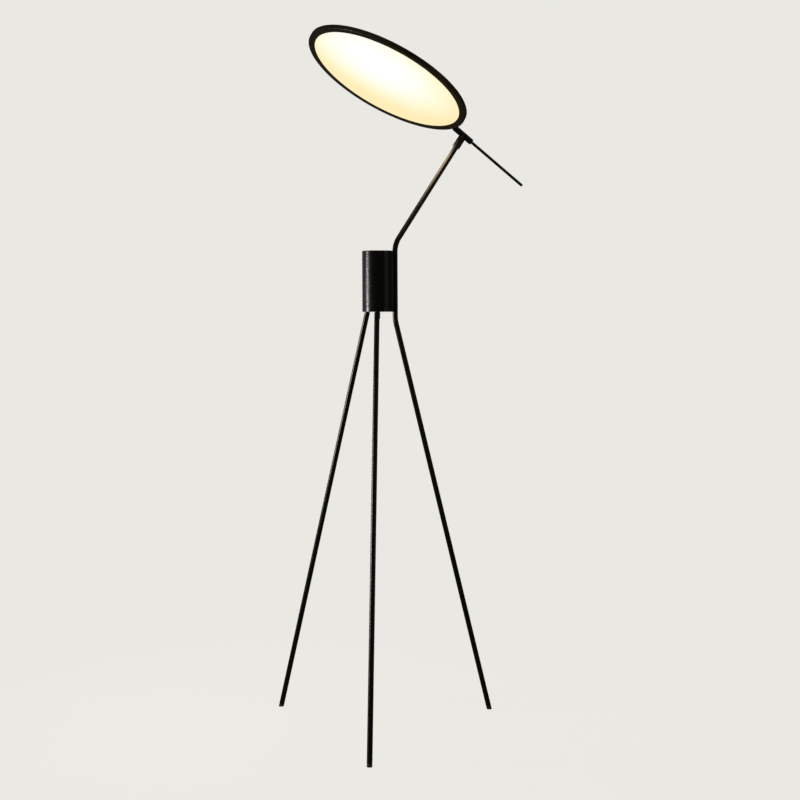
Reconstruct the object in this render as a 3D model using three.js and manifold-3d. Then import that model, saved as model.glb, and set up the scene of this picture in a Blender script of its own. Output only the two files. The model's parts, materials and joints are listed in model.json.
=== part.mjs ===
// A tripod floor lamp: three slim tube legs under a round canister, a bent arm, and a thin round head
// that swivels on the arm's end and rolls about its own handle rod.
// Millimetres, +Z up. The arm's plane is XZ, with the arm leaning towards +X, and the legs stand 120
// degrees apart. The origin is on the floor, under the middle of the lamp's bounding box.
import * as THREE from "three";
import { mergeVertices } from "three/addons/utils/BufferGeometryUtils.js";
import Module from "manifold-3d";

const wasm = await Module();
wasm.setup();

// ---------------------------------------------------------------------------------------------------
// Driving dimensions
// ---------------------------------------------------------------------------------------------------
const GAP = 0.3; // left between pieces that touch

const TUBE = { outer: 6.35, inner: 5.15 }; // radii of the leg and arm tube
const FOOT_CIRCLE = 305; // from the canister's axis to each foot
const LEG_AZIMUTH = { mast: 0, left: 120, front: -120 }; // degrees about the canister's axis
const LEG_TOP_X = 31; // from the canister's axis to a plain leg's axis, at the canister's underside

const CAN = { radius: 37.5, inner: 36.3, bottom: 1002, top: 1148 };
const BASE_BAND = 12.7; // height of the base cap's visible band
const TOP_BAND = 8.7;
const SPIGOT = { outer: 36 - GAP, inner: 33.5, height: 8.5 }; // the caps' spigots inside the shell
const FLOOR = 3; // thickness of both caps' plates

const MAST_X = 46; // from the canister's axis to the upright stretch of the mast
const LOW_BEND = { z: 982, radius: 90 };
const HIGH_BEND = { z: 1165, radius: 60 };
const ARM_TILT = THREE.MathUtils.degToRad(35); // from the vertical
const ARM_LENGTH = 331; // from the high bend's corner to the tee's centre

// The handle rod is square to the arm. The disc droops a little from the rod's line, about a point just
// inside its rim.
const DISC_DROOP = THREE.MathUtils.degToRad(5);
const DISC_PIVOT = -36; // along the rod, from the tee's centre
const DISC = { radius: 209.5, front: -5, back: 5, sheet: 1.2 };
const BEZEL_INNER = 193;
const HANDLE = { radius: 3.6, reach: 206 }; // reach is from the tee's centre to the rod's tip

const SLEEVE = { outer: 9.3, bore: 8.1, from: -37, to: -10.4 }; // along the arm, from the tee's centre
const CROSS = { outer: 7.5, bore: 6.1, from: -30.5, to: 27 }; // along the handle rod
const ARM_END = -16; // where the arm's tube stops, from the tee's centre
const STOP_SCREW = 1.45; // radius of the two screws whose tips run in stop grooves
const STOP_RIB = 40; // degrees left uncut in a stop groove

const MAST_SCREW_Z = { lower: 1036, upper: 1106 };
const CABLE_Z = 1124; // where the cable crosses from the canister into the mast
const DRIVER = { back: 32.6, front: -1, half: 13, bottom: 1044, top: 1098, wall: 1.2 };

const SIDES = { small: 16, can: 48, disc: 72 };

// ---------------------------------------------------------------------------------------------------
// Geometry helpers. Each returns a closed BufferGeometry.
// ---------------------------------------------------------------------------------------------------
const degrees = THREE.MathUtils.degToRad;

function solidOf(geometry) {
  const bare = geometry.clone();
  bare.deleteAttribute("normal");
  bare.deleteAttribute("uv");
  const merged = mergeVertices(bare, 1e-4);
  const corners = merged.index.array;
  const triVerts = [];
  for (let i = 0; i < corners.length; i += 3) {
    const [a, b, c] = corners.slice(i, i + 3);
    if (a !== b && b !== c && c !== a) triVerts.push(a, b, c);
  }
  return new wasm.Manifold(
    new wasm.Mesh({
      numProp: 3,
      vertProperties: merged.getAttribute("position").array,
      triVerts: new Uint32Array(triVerts),
    }),
  );
}

function geometryOf(solid) {
  const mesh = solid.getMesh();
  const geometry = new THREE.BufferGeometry();
  geometry.setAttribute("position", new THREE.BufferAttribute(mesh.vertProperties, 3));
  geometry.setIndex(new THREE.BufferAttribute(mesh.triVerts, 1));
  geometry.computeVertexNormals();
  return geometry;
}

function join(first, ...others) {
  return geometryOf(others.reduce((solid, next) => solid.add(solidOf(next)), solidOf(first)));
}

function cut(first, ...tools) {
  return geometryOf(tools.reduce((solid, tool) => solid.subtract(solidOf(tool)), solidOf(first)));
}

// A turned solid about +Z. The profile is a list of [radius, height], outer side rising.
function turned(profile, sides = SIDES.small) {
  const points = profile.map(([radius, height]) => new THREE.Vector2(radius, height));
  return geometryOf(solidOf(new THREE.LatheGeometry(points, sides).rotateX(Math.PI / 2)));
}

function rod(radius, from, to, sides = SIDES.small) {
  return turned([[0, from], [radius, from], [radius, to], [0, to]], sides);
}

function ring(outer, inner, from, to, sides = SIDES.small) {
  return turned([[inner, from], [outer, from], [outer, to], [inner, to], [inner, from]], sides);
}

// The radius of a polygon's corners whose flats clear a circle of this radius.
function bore(radius, sides = SIDES.small) {
  return radius / Math.cos(Math.PI / sides);
}

function block(x, y, z) {
  const size = [x, y, z].map(([low, high]) => high - low);
  const middle = [x, y, z].map(([low, high]) => (low + high) / 2);
  return new THREE.BoxGeometry(...size).translate(...middle);
}

function alongX(geometry) {
  return geometry.rotateY(Math.PI / 2);
}

function alongY(geometry) {
  return geometry.rotateX(-Math.PI / 2);
}

// A ring with a stretch left out. The stretch is centred on the angle `openAt`.
function openRing(outer, inner, from, to, openAt, openWidth) {
  const start = degrees(openAt + openWidth / 2);
  const end = degrees(openAt - openWidth / 2 + 360);
  const shape = new THREE.Shape();
  shape.absarc(0, 0, outer, start, end, false);
  shape.absarc(0, 0, inner, end, start, true);
  const settings = { depth: to - from, bevelEnabled: false, curveSegments: SIDES.small };
  return new THREE.ExtrudeGeometry(shape, settings).translate(0, 0, from);
}

// A path through stations, each a point and the direction there. One step joins two stations.
class StationPath extends THREE.Curve {
  constructor(stations) {
    super();
    this.stations = stations;
  }
  station(t) {
    return this.stations[Math.round(t * (this.stations.length - 1))];
  }
  getUtoTmapping(u) {
    return u;
  }
  getPoint(t, target = new THREE.Vector3()) {
    return target.copy(this.station(t).point);
  }
  getTangent(t, target = new THREE.Vector3()) {
    return target.copy(this.station(t).tangent);
  }
}

// Straight stretches between the corners, joined by bends of the given radii.
function bentPath(corners, radii, steps) {
  const direction = (a, b) => b.clone().sub(a).normalize();
  const stations = [{ point: corners[0], tangent: direction(corners[0], corners[1]) }];
  for (let i = 1; i < corners.length - 1; i++) {
    const before = direction(corners[i - 1], corners[i]);
    const after = direction(corners[i], corners[i + 1]);
    const turn = before.angleTo(after);
    const axis = before.clone().cross(after).normalize();
    const radius = radii[i - 1];
    const start = corners[i].clone().addScaledVector(before, -radius * Math.tan(turn / 2));
    const centre = start.clone().addScaledVector(axis.clone().cross(before), radius);
    for (let k = 0; k <= steps; k++) {
      const angle = (turn * k) / steps;
      const point = start.clone().sub(centre).applyAxisAngle(axis, angle).add(centre);
      stations.push({ point, tangent: before.clone().applyAxisAngle(axis, angle) });
    }
  }
  const [last, end] = corners.slice(-2);
  stations.push({ point: end, tangent: direction(last, end) });
  return new StationPath(stations);
}

// A round section, hollow when it has an inner radius, swept along a station path.
function swept(path, outer, inner, halfSides) {
  const shape = new THREE.Shape().absarc(0, 0, outer, 0, 2 * Math.PI, false);
  if (inner) shape.holes.push(new THREE.Path().absarc(0, 0, inner, 0, 2 * Math.PI, true));
  return new THREE.ExtrudeGeometry(shape, {
    extrudePath: path,
    steps: path.stations.length - 1,
    curveSegments: halfSides,
  });
}

function inPlane(x, z) {
  return new THREE.Vector3(x, 0, z);
}

// ---------------------------------------------------------------------------------------------------
// Finishes
// ---------------------------------------------------------------------------------------------------
const FINISH = {
  black: { color: 0x141412, roughness: 0.38, metalness: 0.6 },
  darkPlastic: { color: 0x1c1c1c, roughness: 0.6, metalness: 0 },
  rubber: { color: 0x101010, roughness: 0.9, metalness: 0 },
  steel: { color: 0xb4b6b8, roughness: 0.35, metalness: 1 },
  brass: { color: 0xc2a050, roughness: 0.35, metalness: 1 },
  aluminium: { color: 0xcdd0d2, roughness: 0.45, metalness: 1 },
  bush: { color: 0xd8d4c8, roughness: 0.6, metalness: 0 },
  opal: { color: 0xfff6e0, roughness: 0.5, metalness: 0, emissive: 0xfff0c8 },
  clear: { color: 0xeaf2f2, roughness: 0.1, metalness: 0 },
  white: { color: 0xf2f2ee, roughness: 0.7, metalness: 0 },
  circuit: { color: 0x1f5b33, roughness: 0.5, metalness: 0 },
  strip: { color: 0xf4e6a0, roughness: 0.5, metalness: 0 },
  wire: { color: 0x303030, roughness: 0.6, metalness: 0 },
};

function piece(parent, name, geometry, finish) {
  const mesh = new THREE.Mesh(geometry, new THREE.MeshStandardMaterial(FINISH[finish]));
  mesh.name = name;
  parent.add(mesh);
  return mesh;
}

const lamp = new THREE.Group();

// ---------------------------------------------------------------------------------------------------
// Legs and mast. Each leg is drawn in the XZ plane and turned about the canister's axis.
// ---------------------------------------------------------------------------------------------------
const FOOT_PLUG = 7; // height of the foot plug's head, along the leg

const plainLeg = {
  tilt: Math.atan2(FOOT_CIRCLE - LEG_TOP_X, CAN.bottom),
  length: Math.hypot(FOOT_CIRCLE - LEG_TOP_X, CAN.bottom),
};
const mastLeg = { tilt: Math.atan2(FOOT_CIRCLE - MAST_X, LOW_BEND.z) };

// From a leg's own axis, with its foot at zero, to the XZ plane.
function legFrame(tilt) {
  return new THREE.Matrix4().makeRotationY(-tilt).setPosition(FOOT_CIRCLE, 0, 0);
}

function onLeg(geometry, tilt) {
  return geometry.applyMatrix4(legFrame(tilt));
}

function alongLeg(tilt, distance) {
  return inPlane(0, distance).applyMatrix4(legFrame(tilt));
}

function footPlug(tilt) {
  const spigot = 4.4;
  const depth = 22;
  const belowFloor = -6;
  const profile = [
    [0, belowFloor],
    [TUBE.outer, belowFloor],
    [TUBE.outer, FOOT_PLUG],
    [spigot, FOOT_PLUG],
    [spigot, depth],
    [0, depth],
  ];
  const floorCut = block([FOOT_CIRCLE - 20, FOOT_CIRCLE + 20], [-20, 20], [-20, 0]);
  return cut(onLeg(turned(profile), tilt), floorCut);
}

// A plain leg's tube, mitred to lie flat under the canister.
function legTube() {
  const ends = [FOOT_PLUG + GAP, plainLeg.length + 10];
  const [foot, top] = ends.map((distance) => alongLeg(plainLeg.tilt, distance));
  const tube = swept(bentPath([foot, top], [], 1), TUBE.outer, TUBE.inner, SIDES.small / 2);
  const mitre = block([0, 80], [-20, 20], [CAN.bottom - GAP, CAN.bottom + 40]);
  return cut(tube, mitre);
}

const LEG_BOLT = { radius: 2.5, head: 4.2, seat: 10 }; // seat is measured past the canister's underside

function legInsert() {
  const top = plainLeg.length - 2;
  return onLeg(ring(4.4, bore(LEG_BOLT.radius + GAP), top - 22, top), plainLeg.tilt);
}

function legBolt() {
  const seat = plainLeg.length + LEG_BOLT.seat + GAP;
  const profile = [
    [0, seat - 24],
    [LEG_BOLT.radius, seat - 24],
    [LEG_BOLT.radius, seat],
    [LEG_BOLT.head, seat],
    [LEG_BOLT.head, seat + 4.2],
    [0, seat + 4.2],
  ];
  return onLeg(turned(profile), plainLeg.tilt);
}

for (const side of ["left", "front"]) {
  const leg = new THREE.Group();
  leg.rotation.z = degrees(LEG_AZIMUTH[side]);
  lamp.add(leg);
  piece(leg, side + "_leg", legTube(), "black");
  piece(leg, side + "_foot", footPlug(plainLeg.tilt), "rubber");
  piece(leg, side + "_leg_insert", legInsert(), "brass");
  piece(leg, side + "_leg_bolt", legBolt(), "steel");
}

// Along the arm, from the high bend's corner to the tee's centre.
function alongArm(distance) {
  return inPlane(MAST_X + distance * Math.sin(ARM_TILT), HIGH_BEND.z + distance * Math.cos(ARM_TILT));
}

// A hole through the side of the canister and the near wall of the mast.
function sideHole(radius, z) {
  return alongX(rod(radius, 20, MAST_X)).translate(0, 0, z);
}

const MAST_SCREW = { radius: 1.9, head: 3.4, hole: 2.25 };
const CABLE_HOLE = 2.9;

function mastTube() {
  const corners = [
    alongLeg(mastLeg.tilt, FOOT_PLUG + GAP),
    inPlane(MAST_X, LOW_BEND.z),
    inPlane(MAST_X, HIGH_BEND.z),
    alongArm(ARM_LENGTH + ARM_END),
  ];
  const path = bentPath(corners, [LOW_BEND.radius, HIGH_BEND.radius], 5);
  const screwHoles = Object.values(MAST_SCREW_Z).map((z) => sideHole(MAST_SCREW.hole, z));
  const tube = swept(path, TUBE.outer, TUBE.inner, SIDES.small / 2);
  return cut(tube, ...screwHoles, sideHole(CABLE_HOLE, CABLE_Z));
}

piece(lamp, "mast_tube", mastTube(), "black");
piece(lamp, "mast_foot", footPlug(mastLeg.tilt), "rubber");

// A bar inside the mast that both mast screws are threaded into.
function mastAnchor() {
  const bar = rod(4.2, MAST_SCREW_Z.lower - 9, MAST_SCREW_Z.upper + 9).translate(MAST_X, 0, 0);
  const threads = Object.values(MAST_SCREW_Z).map((z) =>
    alongX(rod(MAST_SCREW.hole, MAST_X - 10, MAST_X + 10)).translate(0, 0, z),
  );
  return cut(bar, ...threads);
}

piece(lamp, "mast_anchor", mastAnchor(), "steel");

// A saddle that fills the gap between the canister and the mast.
function mastSpacer() {
  const shell = rod(CAN.radius + GAP, -10, 10, SIDES.can);
  const mast = rod(TUBE.outer + GAP, -10, 10).translate(MAST_X, 0, 0);
  return cut(alongX(ring(4, MAST_SCREW.hole, 30, MAST_X)), shell, mast);
}

const PLATE = { inner: 33, outer: 34.5 }; // the chassis plate against the canister's wall, along X

for (const [level, z] of Object.entries(MAST_SCREW_Z)) {
  const fixing = new THREE.Group();
  fixing.position.z = z;
  lamp.add(fixing);
  const seat = PLATE.inner - GAP;
  const screw = [
    [0, seat - 2.5],
    [MAST_SCREW.head, seat - 2.5],
    [MAST_SCREW.head, seat],
    [MAST_SCREW.radius, seat],
    [MAST_SCREW.radius, MAST_X + 1],
    [0, MAST_X + 1],
  ];
  piece(fixing, "mast_spacer_" + level, mastSpacer(), "black");
  piece(fixing, "mast_screw_" + level, alongX(turned(screw)), "steel");
}

// ---------------------------------------------------------------------------------------------------
// Canister: shell, two caps and the cable gland
// ---------------------------------------------------------------------------------------------------
const EDGE = 0.8; // bevel on the caps' outer rims

function canisterShell() {
  const tube = ring(CAN.radius, CAN.inner, CAN.bottom + BASE_BAND + GAP, CAN.top - TOP_BAND - GAP, SIDES.can);
  const screwHoles = Object.values(MAST_SCREW_Z).map((z) => sideHole(MAST_SCREW.hole, z));
  return cut(tube, ...screwHoles, sideHole(CABLE_HOLE, CABLE_Z));
}

const CHASSIS_SCREW = { x: 20, y: 6.5, radius: 1.9, boss: 3.9, seat: CAN.bottom + 8 };
const EARTH_SCREW = { x: 4, y: 22 };
const GLAND = { spigot: 3.8, nut: 5.1, body: 5.3 };

function chassisScrewPlaces() {
  return [-1, 1].map((side) => [CHASSIS_SCREW.x, side * CHASSIS_SCREW.y]);
}

function baseCap() {
  const floor = CAN.bottom + FLOOR;
  const bandTop = CAN.bottom + BASE_BAND;
  const cup = [
    [0, CAN.bottom],
    [CAN.radius - EDGE, CAN.bottom],
    [CAN.radius, CAN.bottom + EDGE],
    [CAN.radius, bandTop],
    [SPIGOT.outer, bandTop],
    [SPIGOT.outer, bandTop + SPIGOT.height],
    [SPIGOT.inner, bandTop + SPIGOT.height],
    [SPIGOT.inner, floor],
    [0, floor],
  ];
  const legs = [LEG_AZIMUTH.left, LEG_AZIMUTH.front].map(degrees);
  const { length, tilt } = plainLeg;
  const legBosses = legs.map((turn) =>
    onLeg(rod(7, length + 2, length + LEG_BOLT.seat), tilt).rotateZ(turn),
  );
  const legHoles = legs.map((turn) =>
    onLeg(rod(bore(LEG_BOLT.radius + GAP), length - 20, length + 30), tilt).rotateZ(turn),
  );
  const screwBosses = chassisScrewPlaces().map(([x, y]) =>
    rod(CHASSIS_SCREW.boss, floor - 1, CHASSIS_SCREW.seat).translate(x, y, 0),
  );
  const blindHoles = [...chassisScrewPlaces(), [EARTH_SCREW.x, EARTH_SCREW.y]].map(([x, y]) =>
    rod(bore(CHASSIS_SCREW.radius + GAP), CAN.bottom + 1, CHASSIS_SCREW.seat + 1).translate(x, y, 0),
  );
  const glandHole = rod(bore(GLAND.spigot + GAP), CAN.bottom - 1, floor + 1);
  const solid = join(turned(cup, SIDES.can), ...legBosses, ...screwBosses);
  return cut(solid, ...legHoles, ...blindHoles, glandHole);
}

function topCap() {
  const bandBottom = CAN.top - TOP_BAND;
  return turned(
    [
      [0, CAN.top - FLOOR],
      [SPIGOT.inner, CAN.top - FLOOR],
      [SPIGOT.inner, bandBottom - SPIGOT.height],
      [SPIGOT.outer, bandBottom - SPIGOT.height],
      [SPIGOT.outer, bandBottom],
      [CAN.radius, bandBottom],
      [CAN.radius, CAN.top - EDGE],
      [CAN.radius - EDGE, CAN.top],
      [0, CAN.top],
    ],
    SIDES.can,
  );
}

piece(lamp, "canister_shell", canisterShell(), "black");
piece(lamp, "base_cap", baseCap(), "black");
piece(lamp, "top_cap", topCap(), "black");

// The gland's pieces hang under the canister. Heights are measured from its underside.
const glandPieces = new THREE.Group();
glandPieces.position.z = CAN.bottom;
lamp.add(glandPieces);

const GLAND_BORE = 2.4;
const glandBody = [
  [GLAND_BORE, -9],
  [3.7, -9],
  [3.7, -13.5],
  [4.3, -13.5],
  [4.3, -7.2],
  [GLAND.body, -7.2],
  [GLAND.body, -GAP],
  [GLAND.spigot, -GAP],
  [GLAND.spigot, 9],
  [GLAND_BORE, 9],
  [GLAND_BORE, -9],
];
const glandNut = [
  [2.6, -17],
  [4.2, -17],
  [GLAND.nut, -15.8],
  [GLAND.nut, -7.5],
  [4.6, -7.5],
  [4.6, -14],
  [2.6, -14],
  [2.6, -17],
];
piece(glandPieces, "gland_body", turned(glandBody), "darkPlastic");
piece(glandPieces, "gland_nut", turned(glandNut), "darkPlastic");
piece(glandPieces, "gland_seal", ring(3.3, 1.9, -13.3, -9.4), "rubber");
const lockNut = cut(rod(7, FLOOR + GAP, FLOOR + 3.3, 6), rod(bore(GLAND.spigot + GAP), 0, 10));
piece(glandPieces, "gland_locknut", lockNut, "darkPlastic");

// ---------------------------------------------------------------------------------------------------
// Inside the canister: chassis, driver, terminals and leads
// ---------------------------------------------------------------------------------------------------
const CHASSIS = { half: 10, flangeStart: 14, step: 31, stepZ: 1027, top: 1116, sheet: 1.5 };

function chassisBracket() {
  const low = CHASSIS_SCREW.seat + GAP;
  const { step, stepZ, sheet, top, flangeStart, half } = CHASSIS;
  const outline = [
    [flangeStart, low],
    [step, low],
    [step, stepZ],
    [PLATE.outer, stepZ + 3],
    [PLATE.outer, top],
    [PLATE.inner, top],
    [PLATE.inner, stepZ + 3.6],
    [step - sheet, stepZ + 0.6],
    [step - sheet, low + sheet],
    [flangeStart, low + sheet],
  ];
  const shape = new THREE.Shape(outline.map(([x, z]) => new THREE.Vector2(x, z)));
  const sheetMetal = new THREE.ExtrudeGeometry(shape, { depth: 2 * half, bevelEnabled: false })
    .rotateX(Math.PI / 2)
    .translate(0, half, 0);
  const screwHoles = chassisScrewPlaces().map(([x, y]) =>
    rod(CHASSIS_SCREW.radius + GAP + 0.1, low - 2, low + 4).translate(x, y, 0),
  );
  const mastHoles = Object.values(MAST_SCREW_Z).map((z) => sideHole(MAST_SCREW.hole, z));
  return cut(sheetMetal, ...screwHoles, ...mastHoles, sideHole(DRIVER_SCREW.hole, DRIVER_SCREW.z));
}

const DRIVER_SCREW = { z: 1071, radius: 1.4, hole: 1.8, head: 2.6 };

function driverCase() {
  const { back, front, half, bottom, top, wall } = DRIVER;
  const shell = block([front, back], [-half, half], [bottom, top]);
  const inside = block([front - 5, back - wall], [wall - half, half - wall], [bottom + wall, top - wall]);
  const inlet = rod(1.8, bottom - 5, bottom + 5).translate(LEAD_X.inlet, 0, 0);
  const outlet = rod(1.8, top - 5, top + 5).translate(LEAD_X.outlet, 0, 0);
  return cut(shell, inside, inlet, outlet, sideHole(DRIVER_SCREW.hole, DRIVER_SCREW.z));
}

const LEAD_X = { inlet: 6, outlet: 10 };

function driverCover() {
  const { front, half, bottom, top, wall } = DRIVER;
  const inset = wall + GAP;
  const plate = block([front - GAP - wall, front - GAP], [-half, half], [bottom, top]);
  const lip = block([front - 1, front + 2], [inset - half, half - inset], [bottom + inset, top - inset]);
  return join(plate, lip);
}

function driverBoard() {
  const board = block([22, 23.6], [-11, 11], [1047, 1095]);
  const transformer = block([9, 22.5], [-8, 8], [1060, 1077]);
  const choke = block([14, 22.5], [-9, -1], [1079, 1087]);
  const capacitors = [-5.5, 5.5].map((y) => alongX(rod(4.5, 12, 22.5)).translate(0, y, 1052.5));
  const regulator = block([18, 22.5], [2, 9], [1080, 1090]);
  return join(board, transformer, choke, ...capacitors, regulator);
}

piece(lamp, "chassis_bracket", chassisBracket(), "steel");
piece(lamp, "driver_case", driverCase(), "white");
piece(lamp, "driver_cover", driverCover(), "white");
piece(lamp, "driver_board", driverBoard(), "circuit");

const driverScrew = [
  [0, 27],
  [DRIVER_SCREW.radius, 27],
  [DRIVER_SCREW.radius, PLATE.outer + GAP],
  [DRIVER_SCREW.head, PLATE.outer + GAP],
  [DRIVER_SCREW.head, PLATE.outer + GAP + 1],
  [0, PLATE.outer + GAP + 1],
];
piece(lamp, "driver_screw", alongX(turned(driverScrew)).translate(0, 0, DRIVER_SCREW.z), "steel");

// A cap-head screw that stands on a seat, with its shank going down.
function downScrew(radius, head, shank) {
  return turned([[0, -shank], [radius, -shank], [radius, 0], [head, 0], [head, 2.5], [0, 2.5]]);
}

chassisScrewPlaces().forEach(([x, y], i) => {
  const screw = downScrew(CHASSIS_SCREW.radius, 3.4, 8.5);
  const mesh = piece(lamp, "chassis_screw_" + ["front", "rear"][i], screw, "steel");
  mesh.position.set(x, y, CHASSIS_SCREW.seat + CHASSIS.sheet + 2 * GAP);
});

const earthScrew = piece(lamp, "earth_screw", downScrew(CHASSIS_SCREW.radius, 3.4, 2), "brass");
earthScrew.position.set(EARTH_SCREW.x, EARTH_SCREW.y, CAN.bottom + FLOOR + GAP);

function terminalBlock() {
  const low = CAN.bottom + FLOOR + GAP;
  const body = block([-27, -13], [-8, 8], [low, low + 10]);
  const screwWells = [-4, 4].map((y) => rod(2, low + 6, low + 12).translate(-23.5, y, 0));
  const leadHole = rod(1.8, low + 5, low + 12).translate(LEAD_START_X, 0, 0);
  return cut(body, ...screwWells, leadHole);
}

const LEAD_START_X = -17;
piece(lamp, "terminal_block", terminalBlock(), "white");

const LEAD_RADIUS = 1.3;
const driverLead = bentPath(
  [
    inPlane(LEAD_START_X, CAN.bottom + 10),
    inPlane(LEAD_START_X, 1031),
    inPlane(LEAD_X.inlet, 1031),
    inPlane(LEAD_X.inlet, DRIVER.bottom + 2.5),
  ],
  [7, 7],
  4,
);
piece(lamp, "driver_lead", swept(driverLead, LEAD_RADIUS, 0, 4), "wire");

// The low-voltage cable leaves the driver, crosses into the mast and runs up the arm.
const armCable = bentPath(
  [
    inPlane(LEAD_X.outlet, DRIVER.top - 3),
    inPlane(LEAD_X.outlet, CABLE_Z),
    inPlane(MAST_X, CABLE_Z),
    inPlane(MAST_X, HIGH_BEND.z),
    alongArm(ARM_LENGTH - 8),
  ],
  [8, 5, HIGH_BEND.radius],
  5,
);
piece(lamp, "arm_cable", swept(armCable, LEAD_RADIUS, 0, 4), "wire");

const grommet = [
  [1.75, 34.2],
  [4, 34.2],
  [4, 35.7],
  [2.55, 35.7],
  [2.55, 41.3],
  [1.75, 41.3],
  [1.75, 34.2],
];
piece(lamp, "cable_grommet", alongX(turned(grommet)).translate(0, 0, CABLE_Z), "rubber");

// ---------------------------------------------------------------------------------------------------
// The tee on the arm's end. Its group stands at the tee's centre, with +Z along the arm and +X out along
// the handle rod.
// ---------------------------------------------------------------------------------------------------
const teeCentre = alongArm(ARM_LENGTH);

const tee = new THREE.Group();
tee.position.copy(teeCentre);
tee.rotation.y = ARM_TILT;
lamp.add(tee);

const SWIVEL_STOP_Z = -13.3; // the swivel's stop groove, along the arm
const ROLL_STOP_X = -15; // the roll's stop groove, along the cross tube
const WIRE_HOLE = 3;

function teeBody() {
  const sleeve = turned([
    [0, SLEEVE.from],
    [SLEEVE.outer, SLEEVE.from],
    [SLEEVE.outer, -9],
    [CROSS.outer - 0.5, -3],
    [CROSS.outer - 0.5, 0],
    [0, 0],
  ]);
  const crossTube = alongX(rod(CROSS.outer, CROSS.from, CROSS.to));
  const crossBore = alongX(rod(bore(CROSS.bore), CROSS.from - 1, CROSS.to + 1));
  const sleeveBore = rod(bore(SLEEVE.bore), SLEEVE.from - 1, SLEEVE.to);
  const wireHole = rod(WIRE_HOLE, SLEEVE.to - 1, 0);
  const swivelHole = alongY(rod(STOP_SCREW + GAP, 4, 12)).translate(0, 0, SWIVEL_STOP_Z);
  const rollHole = alongY(rod(STOP_SCREW + GAP, 4, 12)).translate(ROLL_STOP_X, 0, 0);
  return cut(join(sleeve, crossTube), crossBore, sleeveBore, wireHole, swivelHole, rollHole);
}

piece(tee, "tee_body", teeBody(), "black");
const armBush = ring(SLEEVE.bore - GAP, bore(TUBE.outer + GAP), SLEEVE.from + 0.5, ARM_END);
piece(tee, "arm_bush", armBush, "bush");
const swivelStop = alongY(rod(STOP_SCREW, 5.3, SLEEVE.outer - 0.2)).translate(0, 0, SWIVEL_STOP_Z);
piece(tee, "swivel_stop_screw", swivelStop, "steel");

const SPINDLE = 4.4;
const bushBore = bore(SPINDLE + GAP);
const bushOuter = CROSS.bore - GAP;
piece(tee, "spindle_bush_inner", alongX(ring(bushOuter, bushBore, -30.2, -19)), "bush");
piece(tee, "spindle_bush_outer", alongX(ring(bushOuter, bushBore, 8, 18)), "bush");
const rollStop = alongY(rod(STOP_SCREW, 3.8, CROSS.outer - 0.2)).translate(ROLL_STOP_X, 0, 0);
piece(tee, "roll_stop_screw", rollStop, "steel");

// The hollow nipple in the arm's end. The swivel's stop screw runs in its groove.
function armNipple() {
  const collar = { from: ARM_END + GAP, to: SLEEVE.to - 0.4 };
  const hollow = 2.6;
  const blank = turned([
    [hollow, -32],
    [4.4, -32],
    [4.4, collar.from],
    [TUBE.outer, collar.from],
    [TUBE.outer, collar.to],
    [hollow, collar.to],
    [hollow, -32],
  ]);
  const half = STOP_SCREW + GAP;
  const groove = openRing(8, 5, SWIVEL_STOP_Z - half, SWIVEL_STOP_Z + half, -90, STOP_RIB);
  return cut(blank, groove);
}

const armEnd = new THREE.Group();
armEnd.position.copy(teeCentre);
armEnd.rotation.y = ARM_TILT;
lamp.add(armEnd);
piece(armEnd, "arm_nipple", armNipple(), "brass");

// ---------------------------------------------------------------------------------------------------
// The head. Its group stands at the tee's centre: +X out along the handle rod, +Z to the disc's back.
// ---------------------------------------------------------------------------------------------------
const head = new THREE.Group();
head.position.copy(teeCentre);
head.rotation.y = ARM_TILT;
lamp.add(head);

const STUB = 2.4; // radius of the spindle's stub inside the disc's rim

function spindle() {
  const shoulder = { from: -31.8, to: -30.8, radius: 6.2 };
  const stub = { from: -39.2, hollow: 1.4 };
  const rodSocket = { from: 12, radius: 3.5 };
  const end = 24;
  const hollow = 2.2;
  const blank = alongX(
    turned([
      [stub.hollow, stub.from],
      [STUB, stub.from],
      [STUB, shoulder.from],
      [shoulder.radius, shoulder.from],
      [shoulder.radius, shoulder.to],
      [SPINDLE, shoulder.to],
      [SPINDLE, end],
      [rodSocket.radius, end],
      [rodSocket.radius, rodSocket.from],
      [hollow, rodSocket.from],
      [hollow, shoulder.to],
      [stub.hollow, shoulder.to],
      [stub.hollow, stub.from],
    ]),
  );
  const half = STOP_SCREW + GAP;
  const groove = alongX(openRing(6, 3.5, ROLL_STOP_X - half, ROLL_STOP_X + half, -90, STOP_RIB));
  const cableWindow = alongX(openRing(6, 1.5, -4, 4, 180, 60));
  return cut(blank, groove, cableWindow);
}

piece(head, "spindle", spindle(), "steel");
piece(head, "wave_washer", alongX(ring(5.5, bushBore, 18.3, 19.3)), "steel");
piece(head, "spindle_nut", alongX(ring(5.7, bushBore, 19.6, 24.5)), "steel");

// The rod's inner end is turned down to screw into the spindle.
const handleRod = [
  [0, 12.4],
  [3.1, 12.4],
  [3.1, 25],
  [HANDLE.radius, 25],
  [HANDLE.radius, HANDLE.reach - 1.6],
  [HANDLE.radius - 1, HANDLE.reach - 0.4],
  [0, HANDLE.reach],
];
piece(head, "handle_rod", alongX(turned(handleRod)), "black");

const HEAD_LEAD = 0.9; // radius
piece(head, "head_lead", alongX(rod(HEAD_LEAD, -40.9, 0, 8)), "wire");

// The disc's own group stands at its middle, with +Z to its back.
const pivot = new THREE.Group();
pivot.position.x = DISC_PIVOT;
pivot.rotation.y = -DISC_DROOP;
head.add(pivot);

const PIVOT_INSET = 3.5; // from the disc's rim in to the pivot
const disc = new THREE.Group();
disc.position.x = PIVOT_INSET - DISC.radius;
pivot.add(disc);

// A hole along the handle rod's line, as the disc's group sees it.
function stubHole(radius) {
  const reach = 12;
  return alongX(rod(radius, -reach, reach))
    .rotateY(DISC_DROOP)
    .translate(DISC.radius - PIVOT_INSET, 0, 0);
}

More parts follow.
